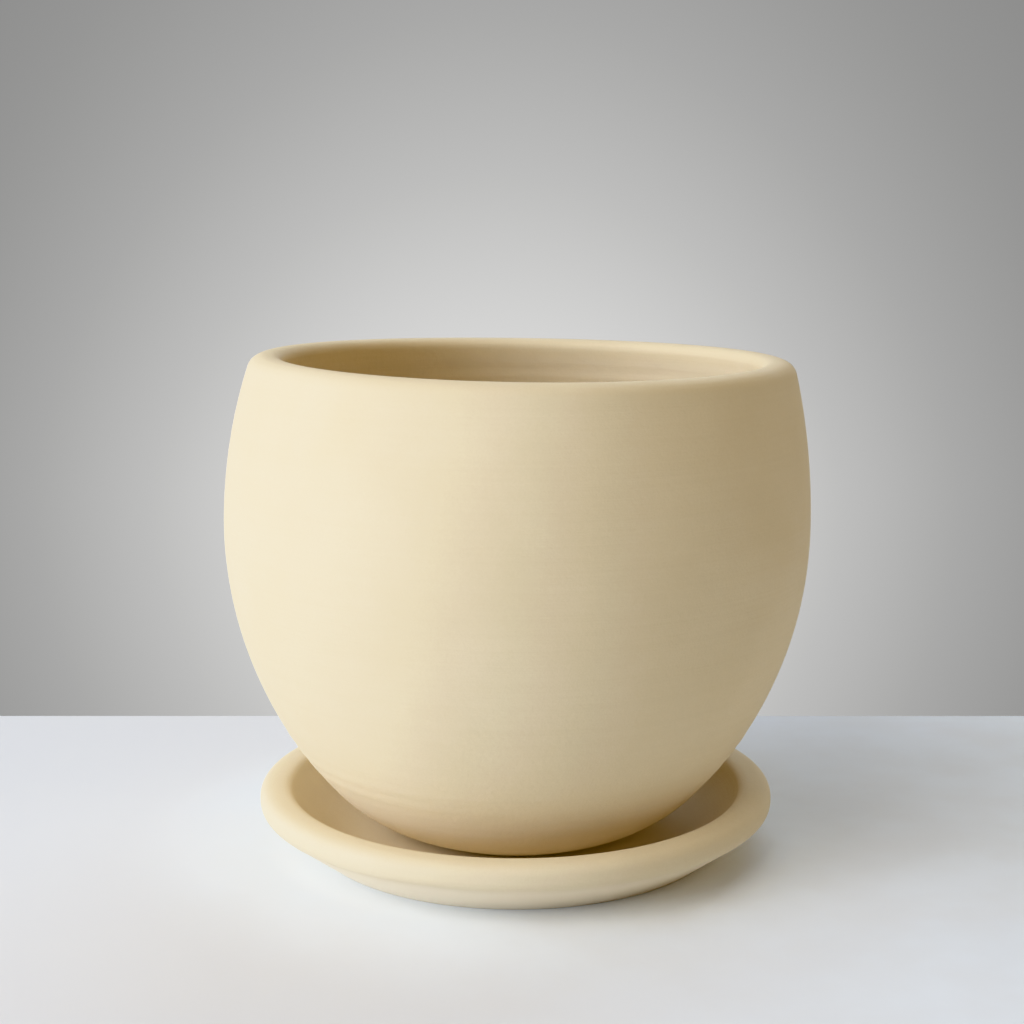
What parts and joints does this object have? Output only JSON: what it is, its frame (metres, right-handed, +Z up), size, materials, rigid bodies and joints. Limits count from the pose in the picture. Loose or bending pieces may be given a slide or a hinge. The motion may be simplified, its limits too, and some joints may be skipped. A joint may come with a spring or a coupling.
{
  "type": "bonsai pot",
  "caption": "Round stoneware pot with a thick rounded lip, standing in a matching saucer with a rolled edge; it lifts out. A wire clip holds a drain mesh inside.",
  "frame": {"origin": "centre of the saucer's foot ring, on the surface that the saucer stands on", "axes": "+Z up along the axis that the saucer and the pot are turned about; +X is the side that the pot leans towards; -Y is the front"},
  "size_m": [0.16, 0.16, 0.1368],
  "materials": {
    "pot_stoneware": "matte cream glaze, dry to the touch",
    "saucer_stoneware": "matte cream glaze, dry to the touch",
    "drain_mesh_plastic": "matte moulded polyethylene",
    "clip_wire": "dull drawn wire"
  },
  "bodies": {
    "saucer": {"saucer": "saucer_stoneware"},
    "pot": {"pot_body": "pot_stoneware", "drain_mesh": "drain_mesh_plastic", "mesh_clip": "clip_wire"}
  },
  "joints": [
    {"name": "pot_lift", "type": "slide", "parent": "saucer", "child": "pot", "axis": [0, 0, 1], "range_m": [0, 0.1]}
  ]
}
